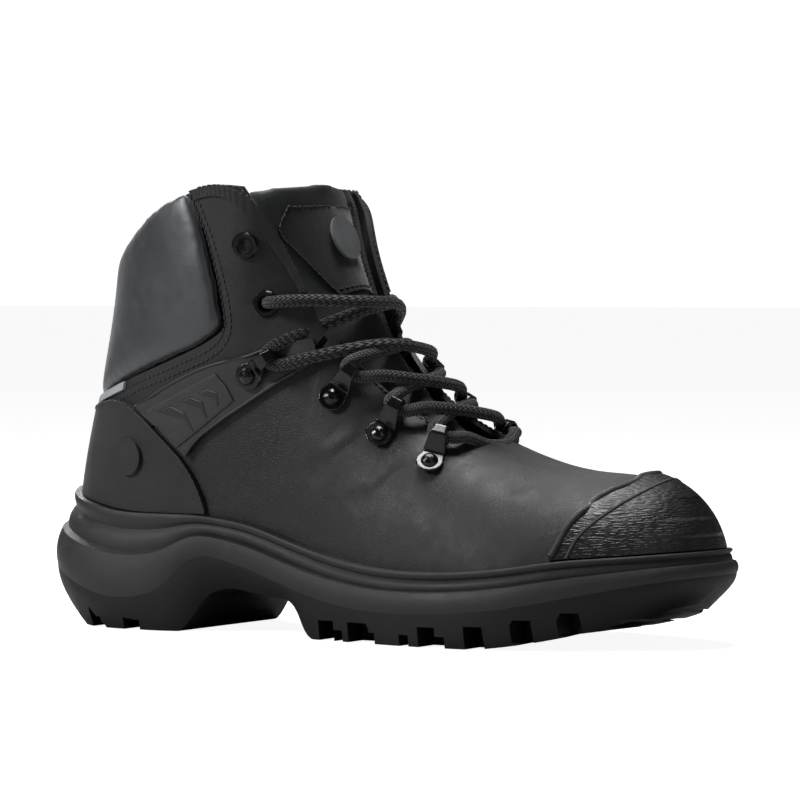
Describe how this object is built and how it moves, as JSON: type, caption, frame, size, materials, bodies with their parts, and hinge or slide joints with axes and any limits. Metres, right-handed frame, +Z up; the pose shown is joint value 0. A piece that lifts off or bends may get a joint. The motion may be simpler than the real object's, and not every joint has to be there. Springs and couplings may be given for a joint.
{
  "type": "steel toe work boot",
  "caption": "Ankle-height safety work boot with steel toe cap, padded collar, padded tongue, closed lace hooks, round lace and lugged outsole.",
  "frame": {"origin": "on the ground under the middle of the heel tread", "axes": "+X from heel to toe, +Y to the inner (medial) side, +Z up"},
  "size_m": [0.3068, 0.1163, 0.1828],
  "materials": {
    "upper_leather": "oiled nubuck-finish full-grain leather, fine creases",
    "collar_leather": "soft smooth padded leather, slight satin sheen",
    "tongue_leather": "soft pebbled padded leather",
    "nubuck": "matt nubuck patch",
    "moulded_band": "satin moulded rubber",
    "textile_lining": "spacer mesh lining",
    "midsole_pu": "matt moulded polyurethane",
    "outsole_rubber": "matt moulded rubber",
    "scuff_rubber": "grained moulded scuff rubber",
    "dark_metal": "black nickel plated steel",
    "steel": "formed steel",
    "reflective_tape": "grey retroreflective piping",
    "binding_tape": "ribbed woven binding",
    "board": "fibre board",
    "footbed_foam": "fabric-topped moulded foam",
    "lace_cord": "round braided polyester",
    "emblem_grey": "satin grey emblem disc",
    "aglet_plastic": "clear black tip"
  },
  "bodies": {
    "root": {"collar_pad": "collar_leather", "counter_mark_lateral": "upper_leather", "counter_mark_medial": "upper_leather", "eyelet_washers": "dark_metal", "eyelets": "dark_metal", "heel_counter_panel": "upper_leather", "heel_lock_band_lateral": "moulded_band", "heel_lock_band_medial": "moulded_band", "heel_stiffener": "board", "hook_rivets": "dark_metal", "insole_board": "board", "lace": "lace_cord", "lace_aglet_lateral": "aglet_plastic", "lace_aglet_medial": "aglet_plastic", "lace_hooks": "dark_metal", "lining": "textile_lining", "midsole": "midsole_pu", "outsole": "outsole_rubber", "penetration_plate": "board", "quarter_binding_lateral": "binding_tape", "quarter_binding_medial": "binding_tape", "quarter_lateral": "upper_leather", "quarter_medial": "upper_leather", "reflective_piping": "reflective_tape", "scuff_cap": "scuff_rubber", "toe_cap": "steel", "toe_cap_edge_strip": "moulded_band", "tongue_gusset_lateral": "textile_lining", "tongue_gusset_medial": "textile_lining", "vamp": "upper_leather"},
    "tongue": {"tongue": "tongue_leather", "tongue_badge_disc": "emblem_grey", "tongue_badge_panel": "nubuck", "tongue_rib_lateral": "tongue_leather", "tongue_rib_medial": "tongue_leather"},
    "footbed": {"footbed": "footbed_foam"}
  },
  "joints": [
    {"name": "tongue_fold", "type": "hinge", "parent": "root", "child": "tongue", "pos_m": [0.158, 0, 0.07], "axis": [0, -1, 0], "range_deg": [0, 3]},
    {"name": "footbed_lift", "type": "hinge", "parent": "root", "child": "footbed", "pos_m": [0.235, 0, 0.03], "axis": [0, 1, 0], "range_deg": [0, 6]}
  ]
}
